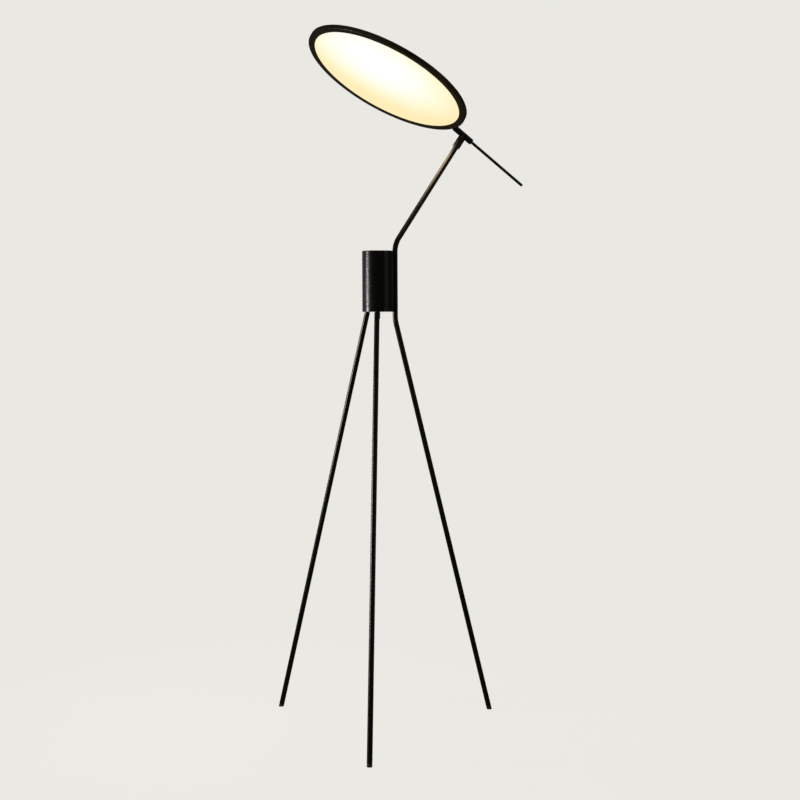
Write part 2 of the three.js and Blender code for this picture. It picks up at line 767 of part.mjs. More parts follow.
const BACK_SCREW = { radius: 1.15, hole: 1.6, head: 2.6 };
const POST = { circle: 205.1, radius: 2.3, azimuths: [60, 180, 300] };
const STEM_BLOCK = { from: 202.7, to: 207.3, half: 10, screwY: 6.6 };
const BACK_INNER = DISC.back - DISC.sheet;
const SUPPORT_TOP = BACK_INNER - GAP; // the top of whatever the back plate rests on

const postPlaces = POST.azimuths
  .map(degrees)
  .map((turn) => [POST.circle * Math.cos(turn), POST.circle * Math.sin(turn)]);
const stemScrewX = (STEM_BLOCK.from + STEM_BLOCK.to) / 2;
const stemScrewPlaces = [-1, 1].map((side) => [stemScrewX, side * STEM_BLOCK.screwY]);

function headPan() {
  const wall = DISC.radius - DISC.sheet;
  const pan = turned(
    [
      [0, BACK_INNER],
      [wall, BACK_INNER],
      [wall, DISC.front],
      [DISC.radius, DISC.front],
      [DISC.radius, DISC.back - DISC.sheet],
      [wall, DISC.back],
      [0, DISC.back],
    ],
    SIDES.disc,
  );
  const screwHoles = [...postPlaces, ...stemScrewPlaces].map(([x, y]) =>
    rod(BACK_SCREW.hole, BACK_INNER - 1, DISC.back + 1, 8).translate(x, y, 0),
  );
  return cut(pan, ...screwHoles, stubHole(STUB + GAP + 0.1));
}

function frontBezel() {
  const face = DISC.front + DISC.sheet;
  const outer = DISC.radius - DISC.sheet - 0.6;
  const flat = ring(outer, BEZEL_INNER, DISC.front, face, SIDES.disc);
  const posts = postPlaces.map(([x, y]) =>
    rod(POST.radius, face - 0.6, SUPPORT_TOP, 12).translate(x, y, 0),
  );
  const holes = postPlaces.map(([x, y]) => rod(1.55, face + 1, SUPPORT_TOP + 1, 8).translate(x, y, 0));
  return cut(join(flat, ...posts), ...holes);
}

function stemBlock() {
  const { from, to, half } = STEM_BLOCK;
  const body = block([from, to], [-half, half], [-3.4, SUPPORT_TOP]);
  const holes = stemScrewPlaces.map(([x, y]) => rod(1.55, -2.2, SUPPORT_TOP + 1, 8).translate(x, y, 0));
  return cut(body, stubHole(STUB + GAP + 0.1), ...holes);
}

function heatRing() {
  const body = ring(202.2, 200.8, -1.7, SUPPORT_TOP, SIDES.disc);
  return cut(body, stubHole(HEAD_LEAD + 1));
}

const LIGHT_RADIUS = 199;
piece(disc, "head_pan", headPan(), "black");
piece(disc, "front_bezel", frontBezel(), "black");
piece(disc, "diffuser", rod(201.5, -3.5, -2, SIDES.disc), "opal");
piece(disc, "light_guide", rod(LIGHT_RADIUS, -1.7, 1.3, SIDES.disc), "clear");
piece(disc, "reflector_sheet", rod(LIGHT_RADIUS, 1.6, 2.1, SIDES.disc), "white");
piece(disc, "led_strip", ring(200.4, 199.4, -1.7, 1.9, SIDES.disc), "strip");
piece(disc, "heat_ring", heatRing(), "aluminium");
piece(disc, "stem_block", stemBlock(), "aluminium");

const backScrewNames = [
  ...postPlaces.map((place, i) => "bezel_screw_" + (i + 1)),
  ...stemScrewPlaces.map((place, i) => "stem_screw_" + (i + 1)),
];
[...postPlaces, ...stemScrewPlaces].forEach(([x, y], i) => {
  const screw = turned([
    [0, -1.5],
    [BACK_SCREW.radius, -1.5],
    [BACK_SCREW.radius, DISC.back + GAP],
    [BACK_SCREW.head, DISC.back + GAP],
    [BACK_SCREW.head - 0.6, DISC.back + GAP + 1.3],
    [0, DISC.back + GAP + 1.3],
  ], 12);
  piece(disc, backScrewNames[i], screw, "steel").position.set(x, y, 0);
});

// The origin goes on the floor, under the middle of the bounding box.
const box = new THREE.Box3().setFromObject(lamp, true);
lamp.position.x = -(box.min.x + box.max.x) / 2;

export default lamp;
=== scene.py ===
"""The tripod floor lamp's looks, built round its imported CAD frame. Lengths are metres unless a name
ends in _MM; turned profiles are in millimetres."""

import json
import math

import bmesh
import bpy
from mathutils import Matrix, Quaternion, Vector


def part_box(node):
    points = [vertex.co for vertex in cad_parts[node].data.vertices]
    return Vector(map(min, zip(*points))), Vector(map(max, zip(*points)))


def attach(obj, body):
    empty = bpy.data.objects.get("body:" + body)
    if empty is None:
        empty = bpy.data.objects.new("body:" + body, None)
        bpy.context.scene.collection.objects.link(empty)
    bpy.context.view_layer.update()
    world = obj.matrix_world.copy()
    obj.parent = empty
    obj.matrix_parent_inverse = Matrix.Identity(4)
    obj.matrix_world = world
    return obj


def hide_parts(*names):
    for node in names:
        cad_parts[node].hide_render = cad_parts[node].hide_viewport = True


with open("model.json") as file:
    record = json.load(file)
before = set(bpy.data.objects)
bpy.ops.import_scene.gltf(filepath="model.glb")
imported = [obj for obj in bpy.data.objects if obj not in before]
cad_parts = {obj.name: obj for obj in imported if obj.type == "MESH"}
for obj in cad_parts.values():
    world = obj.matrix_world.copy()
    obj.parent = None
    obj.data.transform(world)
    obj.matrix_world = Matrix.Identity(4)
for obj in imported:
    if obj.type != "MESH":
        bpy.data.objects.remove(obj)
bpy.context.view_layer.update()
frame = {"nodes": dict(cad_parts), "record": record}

MM = 0.001
X_AXIS, Y_AXIS, Z_AXIS = Vector((1, 0, 0)), Vector((0, 1, 0)), Vector((0, 0, 1))

# ------------------------------------------------------------------------------------------------
# Places, read from the frame
# ------------------------------------------------------------------------------------------------
RECORD = frame["record"]
JOINTS = {joint["name"]: joint for joint in RECORD["behaviour"]["joints"]}
MOUNTS = {mount["name"]: Vector(mount["pos_m"]) for mount in RECORD["mounts"]}


def box_middle(node):
    low, high = (Vector(corner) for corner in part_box(node))
    return (low + high) / 2


TEE = Vector(JOINTS["tee_swivel"]["pos_m"])
ARM_AXIS = Vector(JOINTS["tee_swivel"]["axis"])
ROD_AXIS = Vector(JOINTS["head_roll"]["axis"])
CAN_LOW, CAN_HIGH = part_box("base_cap")[0][2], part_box("top_cap")[1][2]
CAN_AXIS = box_middle("canister_shell")
CAN_RADIUS_MM = 37.5
MAST_X = box_middle("mast_anchor").x


def axes(x, z, origin):
    """A frame at origin whose X and Z run along x and z, with Y square to them."""
    matrix = Matrix((x, z.cross(x), z)).transposed().to_4x4()
    matrix.translation = origin
    return matrix


IN_CAN = Matrix.Translation((CAN_AXIS.x, CAN_AXIS.y, CAN_LOW))
ALONG_ARM = axes(Y_AXIS.cross(ARM_AXIS), ARM_AXIS, TEE)
ALONG_ROD = axes(ROD_AXIS.cross(Y_AXIS), ROD_AXIS, TEE)
SHEET_IN_DISC_MM = 2.75  # from the opal sheet's middle back to the disc's middle
DISC_BACK = (box_middle("reflector_sheet") - box_middle("diffuser")).normalized()
DISC_CENTRE = box_middle("diffuser") + SHEET_IN_DISC_MM * MM * DISC_BACK
IN_DISC = axes(Y_AXIS.cross(DISC_BACK), DISC_BACK, DISC_CENTRE)


# ------------------------------------------------------------------------------------------------
# Mesh helpers
# ------------------------------------------------------------------------------------------------
SHARP = math.radians(32)  # edges that turn more than this stay sharp
SAME_POINT = 1e-7
ON_AXIS = 1e-9  # a smaller radius is a point on the axis
EDGE_SHARE = 0.4  # the most of an edge that one rounded corner takes up


def finished(name, mesh_edit, material, body, nodes):
    """Turns a bmesh into a smooth-shaded object that rides on a body and stands for CAD nodes.
    Normals are weighted by area, so a wide flat face looks flat up to its rounded edge."""
    bmesh.ops.remove_doubles(mesh_edit, verts=mesh_edit.verts, dist=SAME_POINT)
    bmesh.ops.recalc_face_normals(mesh_edit, faces=mesh_edit.faces)
    for face in mesh_edit.faces:
        face.smooth = True
    for edge in mesh_edit.edges:
        edge.smooth = edge.is_manifold and edge.calc_face_angle(0) < SHARP
    mesh = bpy.data.meshes.new(name)
    mesh_edit.to_mesh(mesh)
    mesh_edit.free()
    mesh.materials.append(material)
    piece = bpy.data.objects.new(name, mesh)
    bpy.context.scene.collection.objects.link(piece)
    by_area = piece.modifiers.new("by_area", "WEIGHTED_NORMAL")
    by_area.keep_sharp = True
    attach(piece, body)
    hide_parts(*nodes)
    return piece


def softened(profile, radius, steps=3):
    """The profile with each corner off the axis rounded by about radius."""
    closed = profile[0] == profile[-1]
    corners = [Vector(point) for point in (profile[:-1] if closed else profile)]
    count = len(corners)
    result = []
    for i, corner in enumerate(corners):
        on_axis = corner.x < ON_AXIS
        at_end = not closed and i in (0, count - 1)
        if on_axis or at_end:
            result.append(tuple(corner))
            continue
        before = corners[i - 1] - corner
        after = corners[(i + 1) % count] - corner
        reach = min(radius, EDGE_SHARE * before.length, EDGE_SHARE * after.length)
        start = corner + reach * before.normalized()
        end = corner + reach * after.normalized()
        for k in range(steps + 1):
            t = k / steps
            result.append(tuple((1 - t) ** 2 * start + 2 * t * (1 - t) * corner + t * t * end))
    if closed:
        result.append(result[0])
    return result


def turned(profile, place, sides=64, soften=0.25, grip=None):
    """A bmesh of the profile in millimetres, [(radius, height)], turned about place's Z.
    grip(height, angle) is a factor on the radius."""
    profile = softened(profile, soften) if soften else profile
    closed = profile[0] == profile[-1]
    rings = []
    mesh_edit = bmesh.new()
    for radius, height in profile[:-1] if closed else profile:
        if radius < ON_AXIS:
            rings.append([mesh_edit.verts.new((0, 0, height * MM))])
            continue
        ring = []
        for k in range(sides):
            angle = 2 * math.pi * k / sides
            r = radius * MM * (grip(height, angle) if grip else 1)
            ring.append(mesh_edit.verts.new((r * math.cos(angle), r * math.sin(angle), height * MM)))
        rings.append(ring)
    pairs = list(zip(rings, rings[1:]))
    if closed:
        pairs.append((rings[-1], rings[0]))
    for low, high in pairs:
        for k in range(sides):
            j = (k + 1) % sides
            corners = [low[k % len(low)], low[j % len(low)], high[j % len(high)], high[k % len(high)]]
            corners = list(dict.fromkeys(corners))
            if len(corners) > 2:
                mesh_edit.faces.new(corners)
    mesh_edit.transform(place)
    return mesh_edit


def cylinder(radius, low, high, place, sides=32, soften=0):
    """A plain cylinder in millimetres along place's Z, for bosses, pins and drilled holes."""
    return turned([(0, low), (radius, low), (radius, high), (0, high)], place, sides, soften)


def ring_profile(inner, outer, low, high):
    """The closed profile of a plain ring."""
    return [(inner, low), (outer, low), (outer, high), (inner, high), (inner, low)]


def swept_tube(points, tangents, outer, inner, across, sides=48):
    """A hollow round tube through points; across is square to every tangent."""
    mesh_edit = bmesh.new()
    loops = []
    for radius in (outer, inner):
        rings = []
        for point, tangent in zip(points, tangents):
            side = tangent.cross(across)
            ring = []
            for k in range(sides):
                angle = 2 * math.pi * k / sides
                outward = math.cos(angle) * across + math.sin(angle) * side
                ring.append(mesh_edit.verts.new(point + radius * outward))
            rings.append(ring)
        loops.append(rings)
        for low, high in zip(rings, rings[1:]):
            for k in range(sides):
                j = (k + 1) % sides
                mesh_edit.faces.new((low[k], low[j], high[j], high[k]))
    for end in (0, -1):
        outside, inside = loops[0][end], loops[1][end]
        for k in range(sides):
            j = (k + 1) % sides
            mesh_edit.faces.new((outside[k], outside[j], inside[j], inside[k]))
    return mesh_edit


def boolean(mesh_edit, tools, operation="DIFFERENCE"):
    """The bmesh joined with, or cut by, each of the other bmeshes."""
    scene = bpy.context.scene

    def as_object(source):
        mesh = bpy.data.meshes.new("scratch")
        bmesh.ops.recalc_face_normals(source, faces=source.faces)
        source.to_mesh(mesh)
        source.free()
        scratch = bpy.data.objects.new("scratch", mesh)
        scene.collection.objects.link(scratch)
        return scratch

    base = as_object(mesh_edit)
    others = [as_object(tool) for tool in tools]
    for other in others:
        step = base.modifiers.new("step", "BOOLEAN")
        step.operation = operation
        step.solver = "EXACT"
        step.object = other
    bpy.context.view_layer.update()
    result = bmesh.new()
    result.from_object(base, bpy.context.evaluated_depsgraph_get())
    for scratch in [base] + others:
        mesh = scratch.data
        bpy.data.objects.remove(scratch)
        bpy.data.meshes.remove(mesh)
    return result


def cut_flat(mesh_edit, point, normal):
    """Takes away what lies on the normal's side of a plane, and closes the cut."""
    everything = mesh_edit.verts[:] + mesh_edit.edges[:] + mesh_edit.faces[:]
    cut = bmesh.ops.bisect_plane(
        mesh_edit, geom=everything, plane_co=point, plane_no=normal, clear_outer=True
    )
    rim = [item for item in cut["geom_cut"] if isinstance(item, bmesh.types.BMEdge)]
    bmesh.ops.holes_fill(mesh_edit, edges=rim)


def bent_path(corners, radii, steps=20):
    """(points, tangents) of straight stretches joined by round bends."""
    points, tangents = [corners[0]], [(corners[1] - corners[0]).normalized()]
    for before_point, corner, after_point, radius in zip(corners, corners[1:], corners[2:], radii):
        before = (corner - before_point).normalized()
        after = (after_point - corner).normalized()
        turn = before.angle(after)
        axis = before.cross(after).normalized()
        start = corner - radius * math.tan(turn / 2) * before
        centre = start + radius * axis.cross(before)
        for k in range(steps + 1):
            spin = Matrix.Rotation(turn * k / steps, 3, axis)
            points.append(centre + spin @ (start - centre))
            tangents.append(spin @ before)
    points.append(corners[-1])
    tangents.append((corners[-1] - corners[-2]).normalized())
    return points, tangents


# ------------------------------------------------------------------------------------------------
# Materials
# ------------------------------------------------------------------------------------------------
NOISE_LOW, NOISE_HIGH = 0.3, 0.7  # most of a noise texture's values lie between these


class Shader:
    """A new material with a Principled shader, and short ways to wire nodes into it."""

    def __init__(self, name):
        self.material = bpy.data.materials.new(name)
        self.material.use_nodes = True
        self.tree = self.material.node_tree
        self.principled = self.tree.nodes["Principled BSDF"]
        self.coordinates = self.tree.nodes.new("ShaderNodeTexCoord").outputs["Object"]

    def node(self, kind, **values):
        made = self.tree.nodes.new(kind)
        for key, value in values.items():
            setattr(made, key, value)
        return made

    def link(self, output, target):
        self.tree.links.new(output, target)

    def set(self, **values):
        for key, value in values.items():
            self.principled.inputs[key.replace("_", " ")].default_value = value

    def noise(self, scale, detail=2, stretch=(1, 1, 1)):
        mapping = self.node("ShaderNodeMapping")
        mapping.inputs["Scale"].default_value = stretch
        self.link(self.coordinates, mapping.inputs["Vector"])
        noise = self.node("ShaderNodeTexNoise")
        noise.inputs["Scale"].default_value = scale
        noise.inputs["Detail"].default_value = detail
        self.link(mapping.outputs["Vector"], noise.inputs["Vector"])
        return noise.outputs["Fac"]

    def cells(self, scale, randomness=1.0, **values):
        voronoi = self.node("ShaderNodeTexVoronoi", **values)
        voronoi.inputs["Scale"].default_value = scale
        voronoi.inputs["Randomness"].default_value = randomness
        self.link(self.coordinates, voronoi.inputs["Vector"])
        return voronoi.outputs["Distance"]

    def ramp(self, factor, stops):
        ramp = self.node("ShaderNodeValToRGB")
        elements = ramp.color_ramp.elements
        while len(elements) < len(stops):
            elements.new(0.5)
        for element, (position, colour) in zip(elements, stops):
            element.position = position
            element.color = (*colour, 1)
        self.link(factor, ramp.inputs["Fac"])
        return ramp.outputs["Color"]

    def blend(self, noise, dark, light):
        return self.ramp(noise, [(NOISE_LOW, dark), (NOISE_HIGH, light)])

    def spread(self, noise, low, high):
        mapped = self.node("ShaderNodeMapRange")
        mapped.inputs["From Min"].default_value = NOISE_LOW
        mapped.inputs["From Max"].default_value = NOISE_HIGH
        mapped.inputs["To Min"].default_value = low
        mapped.inputs["To Max"].default_value = high
        self.link(noise, mapped.inputs["Value"])
        return mapped.outputs["Result"]

    def colour(self, output):
        self.link(output, self.principled.inputs["Base Color"])

    def roughness(self, output):
        self.link(output, self.principled.inputs["Roughness"])

    def bump(self, height, strength, distance):
        bump = self.node("ShaderNodeBump")
        bump.inputs["Strength"].default_value = strength
        bump.inputs["Distance"].default_value = distance
        self.link(height, bump.inputs["Height"])
        self.link(bump.outputs["Normal"], self.principled.inputs["Normal"])


def satin_black(name, deep, pale, rough, sheen):
    """Satin powder coat: cloudy near-black with a fine orange-peel surface. Its reflections are tinted by
    the sheen colour; a warm sheen is a painted warm reflection.
    """
    shader = Shader(name)
    shader.colour(shader.blend(shader.noise(35, 4), deep, pale))
    shader.roughness(shader.spread(shader.noise(60, 5), rough - 0.04, rough + 0.05))
    shader.bump(shader.noise(1500, 3), 0.04, 0.00006)
    shader.set(Metallic=0.0, IOR=1.42, Specular_Tint=(*sheen, 1))
    return shader.material


def plated_metal(name, dark, light, rough, stretch=(1, 1, 1)):
    """Turned or drawn metal with fine tool marks."""
    shader = Shader(name)
    shader.colour(shader.blend(shader.noise(220, 4, stretch), dark, light))
    shader.roughness(shader.spread(shader.noise(500, 3, stretch), rough - 0.06, rough + 0.08))
    shader.bump(shader.noise(2200, 2, stretch), 0.15, 0.00004)
    shader.set(Metallic=1.0)
    return shader.material


def moulded(name, dark, light, rough, grain=900, depth=0.2):
    """Moulded plastic or rubber with a fine spark-eroded grain."""
    shader = Shader(name)
    shader.colour(shader.blend(shader.noise(90, 3), dark, light))
    shader.roughness(shader.spread(shader.noise(400, 3), rough - 0.05, rough + 0.06))
    shader.bump(shader.noise(grain, 3), depth, 0.00008)
    return shader.material


def circuit_board(name):
    """Green lacquer with copper tracks and pale printed marks."""
    shader = Shader(name)
    edges = shader.cells(260, feature="DISTANCE_TO_EDGE")
    green, track, pale = (0.015, 0.11, 0.04), (0.04, 0.22, 0.08), (0.5, 0.55, 0.5)
    shader.colour(shader.ramp(edges, [(0.02, pale), (0.06, track), (0.16, green)]))
    shader.roughness(shader.spread(shader.noise(300, 2), 0.35, 0.5))
    shader.bump(edges, 0.2, 0.0002)
    return shader.material


def led_tape(name):
    """White tape with square yellow phosphor chips along it."""
    shader = Shader(name)
    squares = shader.cells(150, 0.1, distance="CHEBYCHEV")
    chip, tape = (0.85, 0.62, 0.12), (0.8, 0.79, 0.74)
    shader.colour(shader.ramp(squares, [(0.3, chip), (0.36, tape)]))
    shader.roughness(shader.spread(shader.noise(300, 2), 0.45, 0.6))
    return shader.material


def clear_acrylic(name):
    """The clear light guide, printed with a fine pattern of dots that send the light out."""
    shader = Shader(name)
    dots = shader.cells(420, 0.0)
    dot, clear = (0.95, 0.95, 0.92), (0.78, 0.84, 0.84)
    shader.colour(shader.ramp(dots, [(0.25, dot), (0.35, clear)]))
    shader.roughness(shader.spread(shader.noise(200, 2), 0.08, 0.2))
    shader.set(IOR=1.49)
    return shader.material


GLOW_MIDDLE = Vector((-0.060, -0.050, 0))  # the whitest patch's middle, in the disc's frame
GLOW_REACH = (0.251, 0.2095, 0.2095)  # from there to full cream, along the disc's X, Y and Z


def opal_glow(name):
    """The lit opal sheet: white-hot near its middle, fading to cream towards the rim."""
    shader = Shader(name)
    to_glow = shader.node("ShaderNodeMapping", vector_type="TEXTURE")
    to_glow.inputs["Location"].default_value = IN_DISC @ GLOW_MIDDLE
    to_glow.inputs["Rotation"].default_value = IN_DISC.to_euler()
    to_glow.inputs["Scale"].default_value = GLOW_REACH
    shader.link(shader.coordinates, to_glow.inputs["Vector"])
    away = shader.node("ShaderNodeVectorMath", operation="LENGTH")
    shader.link(to_glow.outputs["Vector"], away.inputs[0])
    hot, pale, warm, cream = (1.0, 1.0, 0.98), (1.0, 0.99, 0.88), (0.99, 0.92, 0.65), (0.98, 0.82, 0.46)
    glow = shader.ramp(away.outputs["Value"], [(0.25, hot), (0.45, pale), (0.72, warm), (0.95, cream)])
    shader.link(glow, shader.principled.inputs["Emission Color"])
    shader.colour(shader.blend(shader.noise(500, 3), (0.03, 0.03, 0.025), (0.04, 0.04, 0.03)))
    shader.roughness(shader.spread(shader.noise(900, 2), 0.45, 0.55))
    shader.bump(shader.noise(2600, 2), 0.08, 0.00004)
    shader.set(Emission_Strength=1.0, Specular_IOR_Level=0.2)
    return shader.material


BLACK_TONES = {"deep": (0.0012, 0.0012, 0.0010), "pale": (0.0022, 0.0021, 0.0017)}
# Painted warm reflection: the head's tones lean to warm brown and its sheen tint is a warm gold, standing
# for the opal sheet's warm light caught on the black coat.
HEAD_TONES_PAINTED_WARM_REFLECTION = {"deep": (0.0050, 0.0036, 0.0018), "pale": (0.0078, 0.0058, 0.0030)}
BLACK = satin_black("satin_black", **BLACK_TONES, rough=0.29, sheen=(1, 0.98, 0.95))
HEAD_BLACK_PAINTED_WARM_REFLECTION = satin_black("head_black_painted_warm_reflection", **HEAD_TONES_PAINTED_WARM_REFLECTION, rough=0.36, sheen=(1, 0.78, 0.45))
DARK_PLASTIC = moulded("dark_plastic", (0.010, 0.010, 0.010), (0.018, 0.018, 0.017), 0.5)
RUBBER = moulded("rubber", (0.009, 0.009, 0.009), (0.018, 0.017, 0.017), 0.75, 1400, 0.3)
STEEL = plated_metal("zinc_steel", (0.42, 0.43, 0.45), (0.62, 0.63, 0.65), 0.32)
BRASS = plated_metal("turned_brass", (0.55, 0.38, 0.14), (0.78, 0.58, 0.26), 0.3)
ALUMINIUM = plated_metal("mill_aluminium", (0.62, 0.63, 0.64), (0.78, 0.79, 0.8), 0.4)
ACETAL = moulded("acetal", (0.62, 0.6, 0.54), (0.7, 0.68, 0.62), 0.45)
WHITE = moulded("white_plastic", (0.72, 0.72, 0.69), (0.8, 0.8, 0.77), 0.5)
WIRE = moulded("wire_sheath", (0.02, 0.02, 0.02), (0.035, 0.034, 0.033), 0.5)
OPAL = opal_glow("opal_glow")
CLEAR = clear_acrylic("clear_acrylic")
CIRCUIT = circuit_board("circuit_board")
LED_TAPE = led_tape("led_tape")

SLOT_MATERIALS = {
    "black_steel": BLACK,
    "black_aluminium": HEAD_BLACK_PAINTED_WARM_REFLECTION,
    "dark_plastic": DARK_PLASTIC,
    "rubber": RUBBER,
    "steel": STEEL,
    "brass": BRASS,
    "aluminium": ALUMINIUM,
    "bush": ACETAL,
    "opal": OPAL,
    "clear": CLEAR,
    "white_plastic": WHITE,
    "circuit": CIRCUIT,
    "led_tape": LED_TAPE,
    "wire": WIRE,
}


def dress_cad_nodes():
    """Every CAD node that stays gets its slot's material."""
    slots = {part["node"]: part["material_slot"] for part in RECORD["subparts"]}
    for node, piece in frame["nodes"].items():
        piece.data.materials.clear()
        piece.data.materials.append(SLOT_MATERIALS[slots[node]])


# ------------------------------------------------------------------------------------------------
# The stand
# ------------------------------------------------------------------------------------------------
TUBE_OUTER, TUBE_INNER = 6.35 * MM, 5.15 * MM
GAP_MM = 0.3  # between pieces that are drawn apart so that their faces don't coincide
FOOT_MM = {"radius": 6.25, "low": -5, "height": 7, "stem": 4.4, "stem_top": 22}
TUBE_START = Vector((0, 0, (FOOT_MM["height"] + GAP_MM) * MM))  # in a leg's frame
LOW_BEND_Z, LOW_BEND_RADIUS, HIGH_BEND_RADIUS = 0.982, 0.090, 0.060
ARM_TUBE_END_MM = -16
LEG_TOP = 0.031  # from the canister's axis to a plain leg's axis, at the canister's underside
CAN_FOOT = Vector((CAN_AXIS.x, CAN_AXIS.y, 0))


def leg_frame(side):
    """A frame at a leg's foot, with Z up along the leg and Y across it."""
    foot = MOUNTS[side + "_foot_face"]
    outward = (foot - CAN_FOOT).normalized()
    if side == "mast":
        top = Vector((MAST_X, 0, LOW_BEND_Z))
    else:
        top = CAN_FOOT + LEG_TOP * outward + Vector((0, 0, CAN_LOW))
    along = (top - foot).normalized()
    across = Z_AXIS.cross(outward)
    return axes(across.cross(along), along, foot)


def build_mast():
    """One tube that is the third leg, the upright beside the canister and the arm."""
    arm_drop = (TEE.x - MAST_X) * ARM_AXIS.z / ARM_AXIS.x
    corners = [
        leg_frame("mast") @ TUBE_START,
        Vector((MAST_X, 0, LOW_BEND_Z)),
        Vector((MAST_X, 0, TEE.z - arm_drop)),
        TEE + ARM_TUBE_END_MM * MM * ARM_AXIS,
    ]
    points, tangents = bent_path(corners, [LOW_BEND_RADIUS, HIGH_BEND_RADIUS])
    tube = swept_tube(points, tangents, TUBE_OUTER, TUBE_INNER, Y_AXIS)
    finished("mast", tube, BLACK, "stand", ["mast_tube"])


def build_leg(side):
    """A plain leg's tube, cut level where it meets the canister's underside."""
    place = leg_frame(side)
    across = place.col[1].to_3d()
    along = place.col[2].to_3d()
    foot = place @ TUBE_START
    mitre_z = CAN_LOW - GAP_MM * MM
    top = foot + (mitre_z - foot.z) / along.z * along
    tube = swept_tube([foot, top], [along, along], TUBE_OUTER, TUBE_INNER, across)
    for vert in tube.verts:
        if vert.co.z > mitre_z / 2:
            vert.co += (mitre_z - vert.co.z) / along.z * along
    finished(side + "_leg_tube", tube, BLACK, "stand", [side + "_leg"])


def build_foot(side):
    """The rubber plug in a leg's end, with its underside level with the floor."""
    radius, low, height = FOOT_MM["radius"], FOOT_MM["low"], FOOT_MM["height"]
    stem, stem_top = FOOT_MM["stem"], FOOT_MM["stem_top"]
    profile = [(0, low), (radius, low), (radius, height), (stem, height), (stem, stem_top), (0, stem_top)]
    plug = turned(profile, leg_frame(side), sides=48, soften=0.4)
    cut_flat(plug, (0, 0, 0), (0, 0, -1))
    finished(side + "_foot_plug", plug, RUBBER, "stand", [side + "_foot"])


# The caps' visible bands, their plates' thickness, and the spigots that fit inside the wall
BASE_BAND_MM, TOP_BAND_MM, PLATE_MM = 12.7, 8.7, 3
SPIGOT_MM = {"outer": 35.7, "inner": 33.5, "height": 8.5}
WALL_INNER_MM = 36.3
WALL_DRILL_MM = (30, 42)  # from the canister's axis: inside its wall, and outside it
HOLE_MM = {"mast_screw": 2.25, "cable": 2.9, "leg_bolt": 2.9, "small_screw": 2.3, "gland": 4.15}
BOSS_MM = {"leg": 7, "small_screw": 3.9}
CAN_HEIGHT_MM = (CAN_HIGH - CAN_LOW) / MM
CAN_SIDES = 128


def toward_mast(height):
    """A frame on the canister's axis whose Z points to the mast."""
    return axes(-Z_AXIS, X_AXIS, Vector((CAN_AXIS.x, 0, height)))


def build_shell():
    """The canister's wall, drilled on the mast's side for two screws and the cable."""
    low, high = BASE_BAND_MM + GAP_MM, CAN_HEIGHT_MM - TOP_BAND_MM - GAP_MM
    shell = turned(ring_profile(WALL_INNER_MM, CAN_RADIUS_MM, low, high), IN_CAN, CAN_SIDES, soften=0.3)
    drills = []
    for node, hole in (
        ("mast_screw_lower", "mast_screw"),
        ("mast_screw_upper", "mast_screw"),
        ("cable_grommet", "cable"),
    ):
        drills.append(cylinder(HOLE_MM[hole], *WALL_DRILL_MM, toward_mast(box_middle(node).z)))
    shell = boolean(shell, drills)
    finished("shell", shell, BLACK, "stand", ["canister_shell"])


def build_base_cap():
    """A cup with bosses for the legs and the chassis, and holes for their screws and the gland."""
    outer, band, spigot = CAN_RADIUS_MM, BASE_BAND_MM, SPIGOT_MM
    profile = [
        (0, 0),
        (outer, 0),
        (outer, band),
        (spigot["outer"], band),
        (spigot["outer"], band + spigot["height"]),
        (spigot["inner"], band + spigot["height"]),
        (spigot["inner"], PLATE_MM),
        (0, PLATE_MM),
    ]
    cap = turned(profile, IN_CAN, CAN_SIDES, soften=0.9)
    bosses, holes = [], []
    for side in ("left", "front"):
        place = leg_frame(side)
        underside = CAN_LOW / place.col[2].z / MM
        bosses.append(cylinder(BOSS_MM["leg"], underside + 2, underside + 10, place, 48))
        holes.append(cylinder(HOLE_MM["leg_bolt"], underside - 20, underside + 30, place))
    for name in ("chassis_screw_front", "chassis_screw_rear", "earth_screw"):
        screw = box_middle(name)
        place = Matrix.Translation((screw.x, screw.y, CAN_LOW))
        holes.append(cylinder(HOLE_MM["small_screw"], 1, 9, place))
        if name.startswith("chassis"):
            bosses.append(cylinder(BOSS_MM["small_screw"], 2, 8, place))
    holes.append(cylinder(HOLE_MM["gland"], -1, PLATE_MM + 1, IN_CAN, 48))
    cap = boolean(boolean(cap, bosses, "UNION"), holes)
    finished("base_cup", cap, BLACK, "stand", ["base_cap"])


def build_top_cap():
    """A plain lid with a spigot that fits down inside the wall."""
    outer, spigot, top = CAN_RADIUS_MM, SPIGOT_MM, CAN_HEIGHT_MM
    band = top - TOP_BAND_MM
    profile = [
        (0, top - PLATE_MM),
        (spigot["inner"], top - PLATE_MM),
        (spigot["inner"], band - spigot["height"]),
        (spigot["outer"], band - spigot["height"]),
        (spigot["outer"], band),
        (outer, band),
        (outer, top),
        (0, top),
    ]
    cap = turned(profile, IN_CAN, CAN_SIDES, soften=0.9)
    finished("lid", cap, BLACK, "stand", ["top_cap"])


FLANGE_MM = (-7.3, -0.2)  # heights just past the two faces of the gland's hexagon
HEXAGON_FLAT = 0.9  # from the axis to the middle of a flat, as a share of the radius


def hexagon(height, angle):
    """A factor on the radius that cuts six flats on the gland's flange."""
    if not FLANGE_MM[0] < height < FLANGE_MM[1]:
        return 1
    turn = (angle + math.pi / 6) % (math.pi / 3) - math.pi / 6
    return min(1, HEXAGON_FLAT / math.cos(turn))


